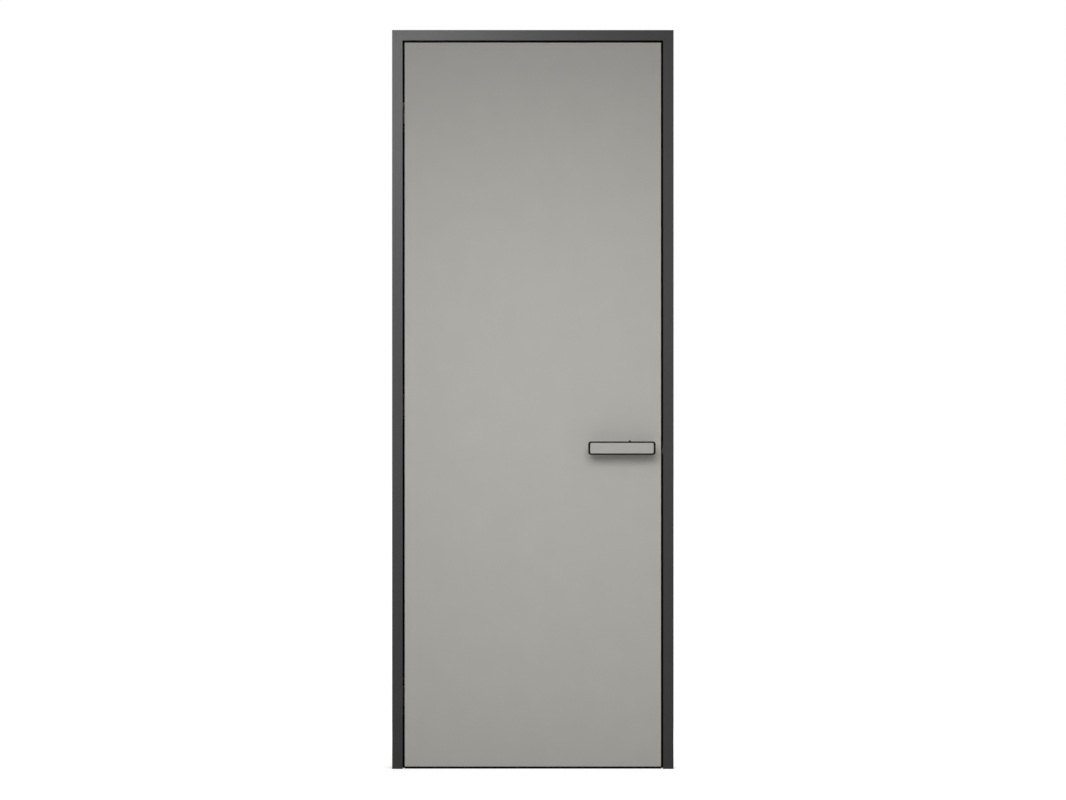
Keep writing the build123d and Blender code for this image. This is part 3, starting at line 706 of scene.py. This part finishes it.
class FLUSHDOOR_OT_studio(bpy.types.Operator):
    """Set up the pale floor, the soft lamps and the straight view"""

    bl_idname = "flush_door.studio"
    bl_label = "Set up the studio"

    def execute(self, context):
        scene = context.scene
        settings = scene.flush_door_studio
        scene.view_settings.view_transform = "Standard"
        self.light_world(scene, settings.fill)
        self.lay_floor(scene)
        self.hang_lamp(
            scene,
            "key_softbox",
            place=(0.47, -1.75, 1.56),
            aim_height=-1.0,
            size=(1.2, 1.0),
            power=settings.key_power,
            shines=False,
        )
        self.hang_lamp(
            scene,
            "strip_lamp",
            place=(-0.06, -1.8, 2.3),
            aim_height=2.3,
            size=(0.3, 1.2),
            power=settings.strip_power,
            shines=True,
        )
        self.hang_lamp(
            scene,
            "sheen_panel",
            place=(0.1, -2.6, 1.3),
            aim_height=1.3,
            size=(1.2, 1.2),
            power=settings.sheen_power,
            shines=True,
        )
        self.hang_lamp(
            scene,
            "back_softbox",
            place=((CAD_BOX[0].x + CAD_BOX[1].x) / 2, 1.6, 1.4),
            aim_height=0.4,
            size=(1.2, 1.0),
            power=settings.back_power,
            shines=False,
        )
        self.set_camera(scene, settings)
        return {"FINISHED"}

    def light_world(self, scene, fill):
        """White to the camera and in reflections, and an even fill light for the rest."""
        world = bpy.data.worlds.new("white_studio")
        world.use_nodes = True
        tree = world.node_tree
        tree.nodes.clear()
        soft = add(tree, "ShaderNodeBackground", {"Color": WHITE, "Strength": fill})
        white = add(tree, "ShaderNodeBackground", {"Color": WHITE, "Strength": 1.0})
        mixed = add(
            tree,
            "ShaderNodeMixShader",
            links={0: self.seen_mask(tree), 1: soft.outputs[0], 2: white.outputs[0]},
        )
        add(tree, "ShaderNodeOutputWorld", links={"Surface": mixed.outputs[0]})
        scene.world = world

    def lay_floor(self, scene):
        """A wide pale floor that shows white far off and keeps the door's shadow close by."""
        material, tree, place = blank_material("pale_floor")
        away = add(tree, "ShaderNodeVectorMath", links={0: place}, operation="LENGTH")
        rise = add(
            tree,
            "ShaderNodeMapRange",
            {
                "From Min": SHADOW_REACH,
                "From Max": WHITE_REACH,
                "To Min": SHADOW_GLOW,
                "To Max": WHITE_GLOW,
            },
            {"Value": away.outputs["Value"]},
            interpolation_type="SMOOTHSTEP",
        )
        glow = add(
            tree,
            "ShaderNodeMath",
            links={0: self.seen_mask(tree), 1: rise.outputs["Result"]},
            operation="MULTIPLY",
        )
        matt = add(tree, "ShaderNodeBsdfDiffuse", {"Color": linear(FLOOR_COLOUR) + [1.0]})
        white = add(tree, "ShaderNodeEmission", {"Color": WHITE}, {"Strength": glow.outputs[0]})
        both = add(tree, "ShaderNodeAddShader", links={0: matt.outputs[0], 1: white.outputs[0]})
        add(tree, "ShaderNodeOutputMaterial", links={"Surface": both.outputs[0]})
        mesh = bmesh.new()
        bmesh.ops.create_grid(mesh, x_segments=1, y_segments=1, size=FLOOR_HALF_WIDTH)
        data = bpy.data.meshes.new("pale_floor")
        mesh.to_mesh(data)
        mesh.free()
        data.materials.append(material)
        floor = bpy.data.objects.new("pale_floor", data)
        scene.collection.objects.link(floor)

    def seen_mask(self, tree):
        """1 for what the camera sees itself, in a reflection or through glass, else 0."""
        path = add(tree, "ShaderNodeLightPath")
        mask = path.outputs["Is Camera Ray"]
        for ray in ("Is Glossy Ray", "Is Transmission Ray"):
            links = {0: mask, 1: path.outputs[ray]}
            mask = add(tree, "ShaderNodeMath", links=links, operation="MAXIMUM").outputs[0]
        return mask

    def hang_lamp(self, scene, name, place, aim_height, size, power, shines):
        """A soft rectangular lamp turned to the door, for its shines or else for its matt faces."""
        data = bpy.data.lights.new(name, "AREA")
        data.shape = "RECTANGLE"
        data.size, data.size_y = size
        data.energy = power
        lamp = bpy.data.objects.new(name, data)
        lamp.location = place
        aim = Vector((place[0], 0.0, aim_height)) - Vector(place)
        lamp.rotation_euler = aim.to_track_quat("-Z", "Y").to_euler()
        lamp.visible_camera = False
        lamp.visible_diffuse = not shines
        lamp.visible_glossy = shines
        scene.collection.objects.link(lamp)

    def set_camera(self, scene, settings):
        """A long lens straight before the door."""
        data = bpy.data.cameras.new("straight_view")
        data.lens = settings.lens
        data.clip_end = VIEW_REACH
        camera = bpy.data.objects.new("straight_view", data)
        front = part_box("head_jamb")[0].y
        camera.location = (settings.centre_x, front - settings.distance, settings.centre_z)
        camera.rotation_euler = (math.radians(90), 0.0, 0.0)
        scene.collection.objects.link(camera)
        scene.camera = camera


OPERATORS = [
    FLUSHDOOR_OT_frame,
    FLUSHDOOR_OT_leaf,
    FLUSHDOOR_OT_seals,
    FLUSHDOOR_OT_hinges,
    FLUSHDOOR_OT_lock,
    FLUSHDOOR_OT_levers,
    FLUSHDOOR_OT_studio,
]


class FLUSHDOOR_PT_looks(bpy.types.Panel):
    """Steps that dress the door"""

    bl_label = "Flush Door"
    bl_idname = "FLUSHDOOR_PT_looks"
    bl_space_type = "VIEW_3D"
    bl_region_type = "UI"
    bl_category = "Flush Door"

    def draw(self, context):
        for operator in OPERATORS:
            self.layout.operator(operator.bl_idname)


SETTINGS = {
    "flush_door_finishes": FlushDoorFinishes,
    "flush_door_arrises": FlushDoorArrises,
    "flush_door_screws": FlushDoorScrews,
    "flush_door_studio": FlushDoorStudio,
}
CLASSES = [*SETTINGS.values(), *OPERATORS, FLUSHDOOR_PT_looks]


def register():
    """Add the operators, the panel and the settings."""
    for cls in CLASSES:
        bpy.utils.register_class(cls)
    for name, group in SETTINGS.items():
        setattr(bpy.types.Scene, name, PointerProperty(type=group))


def unregister():
    """Take away what register added."""
    for name in SETTINGS:
        delattr(bpy.types.Scene, name)
    for cls in reversed(CLASSES):
        bpy.utils.unregister_class(cls)


def main():
    """Dress the door step by step."""
    register()
    bpy.ops.flush_door.frame()
    bpy.ops.flush_door.leaf()
    bpy.ops.flush_door.seals()
    bpy.ops.flush_door.hinges()
    bpy.ops.flush_door.lock()
    bpy.ops.flush_door.levers()
    bpy.ops.flush_door.studio()


if __name__ == "__main__":
    main()
